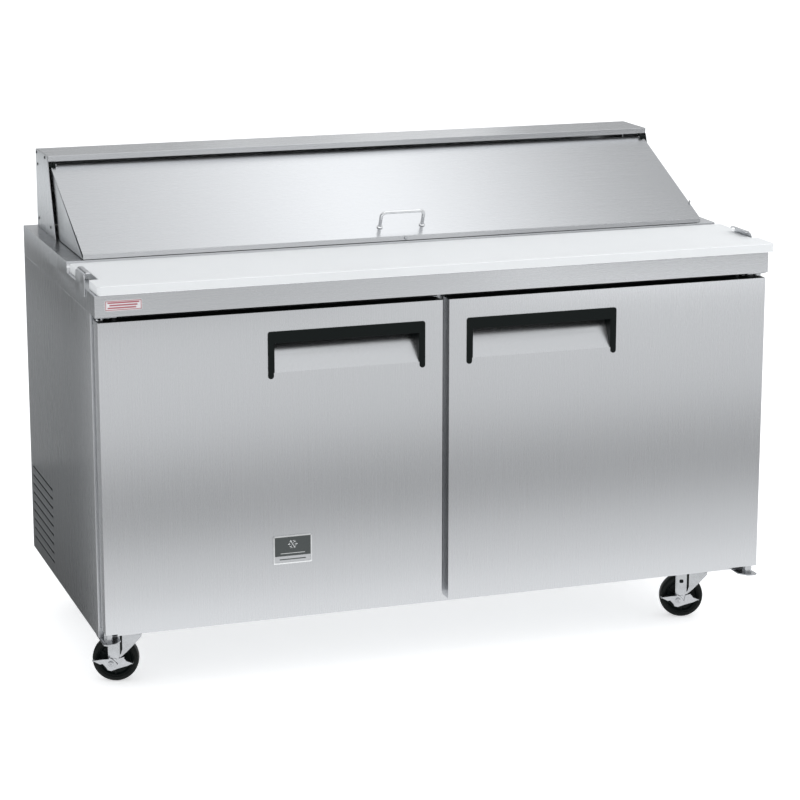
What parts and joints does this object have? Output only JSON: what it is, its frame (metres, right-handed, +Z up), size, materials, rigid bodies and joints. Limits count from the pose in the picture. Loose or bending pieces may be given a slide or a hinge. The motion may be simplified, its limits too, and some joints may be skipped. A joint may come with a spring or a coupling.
{
  "type": "sandwich prep table",
  "caption": "Refrigerated stainless counter on braked casters, with doors, wire shelves, a hinged lid over a pan well, a fixed hood and a lift-off cutting board.",
  "frame": {"origin": "on the floor, under the middle of the countertop", "axes": "+X to the right as seen from the front, +Y from the doors to the back, +Z up"},
  "size_m": [1.5473, 0.76, 1.083],
  "materials": {
    "stainless": "satin",
    "galvanised": "matte",
    "zinc_plate": "satin",
    "foam": "matte",
    "white_sheet": "satin",
    "white_plastic": "satin",
    "black_plastic": "satin",
    "gasket": "matte",
    "tyre": "matte",
    "black_enamel": "satin"
  },
  "bodies": {
    "cabinet": {"side_panel_left": "stainless", "side_panel_right": "stainless", "back_panel": "galvanised", "base_pan": "galvanised", "insulation": "foam", "interior_liner": "white_sheet", "front_frame": "stainless", "countertop": "stainless", "board_bracket_left": "stainless", "board_bracket_right": "stainless", "hood_cover": "stainless", "hood_end_left": "stainless", "hood_end_right": "stainless", "pan_rail": "stainless", "food_pan_1": "stainless", "food_pan_2": "stainless", "food_pan_3": "stainless", "food_pan_4": "stainless", "food_pan_5": "stainless", "food_pan_6": "stainless", "shelf_left": "zinc_plate", "shelf_right": "zinc_plate", "evaporator_housing": "white_sheet", "compressor": "black_enamel", "condenser": "galvanised", "power_inlet": "black_plastic", "hinge_bracket_bottom_left": "zinc_plate", "hinge_bracket_bottom_right": "zinc_plate", "hinge_bracket_top_left": "zinc_plate", "hinge_bracket_top_right": "zinc_plate", "caster_plate_front_left": "zinc_plate", "caster_plate_front_right": "zinc_plate", "caster_plate_rear_left": "zinc_plate", "caster_plate_rear_right": "zinc_plate"},
    "door_left": {"door_left_skin": "stainless", "door_left_inner": "white_plastic", "door_left_gasket": "gasket", "door_left_pull_trim": "black_plastic", "door_badge": "galvanised"},
    "door_right": {"door_right_skin": "stainless", "door_right_inner": "white_plastic", "door_right_gasket": "gasket", "door_right_pull_trim": "black_plastic"},
    "lid": {"lid_panel": "stainless", "lid_liner": "white_sheet", "lid_handle": "zinc_plate"},
    "board": {"cutting_board": "white_plastic"},
    "evaporator_fan": {"evaporator_fan": "black_plastic"},
    "condenser_fan": {"condenser_fan": "galvanised"},
    "thermostat_knob": {"thermostat_knob": "black_plastic"},
    "fork_front_left": {"caster_fork_front_left": "zinc_plate"},
    "wheel_front_left": {"caster_wheel_front_left": "tyre"},
    "fork_front_right": {"caster_fork_front_right": "zinc_plate"},
    "wheel_front_right": {"caster_wheel_front_right": "tyre"},
    "fork_rear_left": {"caster_fork_rear_left": "zinc_plate"},
    "wheel_rear_left": {"caster_wheel_rear_left": "tyre"},
    "fork_rear_right": {"caster_fork_rear_right": "zinc_plate"},
    "wheel_rear_right": {"caster_wheel_rear_right": "tyre"},
    "brake_front_left": {"caster_brake_front_left": "zinc_plate"},
    "brake_front_right": {"caster_brake_front_right": "zinc_plate"}
  },
  "joints": [
    {"name": "door_left_hinge", "type": "hinge", "parent": "cabinet", "child": "door_left", "pos_m": [-0.75, -0.355, 0.15], "axis": [0, 0, -1], "range_deg": [0, 110]},
    {"name": "door_right_hinge", "type": "hinge", "parent": "cabinet", "child": "door_right", "pos_m": [0.75, -0.355, 0.15], "axis": [0, 0, 1], "range_deg": [0, 110]},
    {"name": "lid_pivot", "type": "hinge", "parent": "cabinet", "child": "lid", "pos_m": [0, 0.226, 1.061], "axis": [-1, 0, 0], "range_deg": [0, 118]},
    {"name": "board_lift", "type": "slide", "parent": "cabinet", "child": "board", "axis": [0, 0, 1], "range_m": [0, 0.04]},
    {"name": "evaporator_fan_spin", "type": "hinge", "parent": "cabinet", "child": "evaporator_fan", "pos_m": [0, 0.262, 0.545], "axis": [0, -1, 0], "continuous": true},
    {"name": "condenser_fan_spin", "type": "hinge", "parent": "cabinet", "child": "condenser_fan", "pos_m": [-0.615, 0.246, 0.24], "axis": [-1, 0, 0], "continuous": true},
    {"name": "thermostat_turn", "type": "hinge", "parent": "cabinet", "child": "thermostat_knob", "pos_m": [0.2, 0.228, 0.6], "axis": [0, 1, 0], "range_deg": [0, 270]},
    {"name": "swivel_front_left", "type": "hinge", "parent": "cabinet", "child": "fork_front_left", "pos_m": [-0.673, -0.25, 0.115], "axis": [0, 0, 1], "continuous": true},
    {"name": "axle_front_left", "type": "hinge", "parent": "fork_front_left", "child": "wheel_front_left", "pos_m": [-0.70846, -0.23779, 0.05048], "axis": [0.3256, 0.9455, 0], "continuous": true},
    {"name": "brake_front_left", "type": "hinge", "parent": "fork_front_left", "child": "brake_front_left", "pos_m": [-0.70846, -0.23779, 0.05048], "axis": [-0.3256, -0.9455, 0], "range_deg": [0, 14]},
    {"name": "swivel_front_right", "type": "hinge", "parent": "cabinet", "child": "fork_front_right", "pos_m": [0.673, -0.25, 0.115], "axis": [0, 0, 1], "continuous": true},
    {"name": "axle_front_right", "type": "hinge", "parent": "fork_front_right", "child": "wheel_front_right", "pos_m": [0.63754, -0.23779, 0.05048], "axis": [0.3256, 0.9455, 0], "continuous": true},
    {"name": "brake_front_right", "type": "hinge", "parent": "fork_front_right", "child": "brake_front_right", "pos_m": [0.63754, -0.23779, 0.05048], "axis": [-0.3256, -0.9455, 0], "range_deg": [0, 14]},
    {"name": "swivel_rear_left", "type": "hinge", "parent": "cabinet", "child": "fork_rear_left", "pos_m": [-0.673, 0.29, 0.115], "axis": [0, 0, 1], "continuous": true},
    {"name": "axle_rear_left", "type": "hinge", "parent": "fork_rear_left", "child": "wheel_rear_left", "pos_m": [-0.63632, 0.2822, 0.05048], "axis": [-0.2079, -0.9781, 0], "continuous": true},
    {"name": "swivel_rear_right", "type": "hinge", "parent": "cabinet", "child": "fork_rear_right", "pos_m": [0.673, 0.29, 0.115], "axis": [0, 0, 1], "continuous": true},
    {"name": "axle_rear_right", "type": "hinge", "parent": "fork_rear_right", "child": "wheel_rear_right", "pos_m": [0.70968, 0.2822, 0.05048], "axis": [-0.2079, -0.9781, 0], "continuous": true}
  ]
}
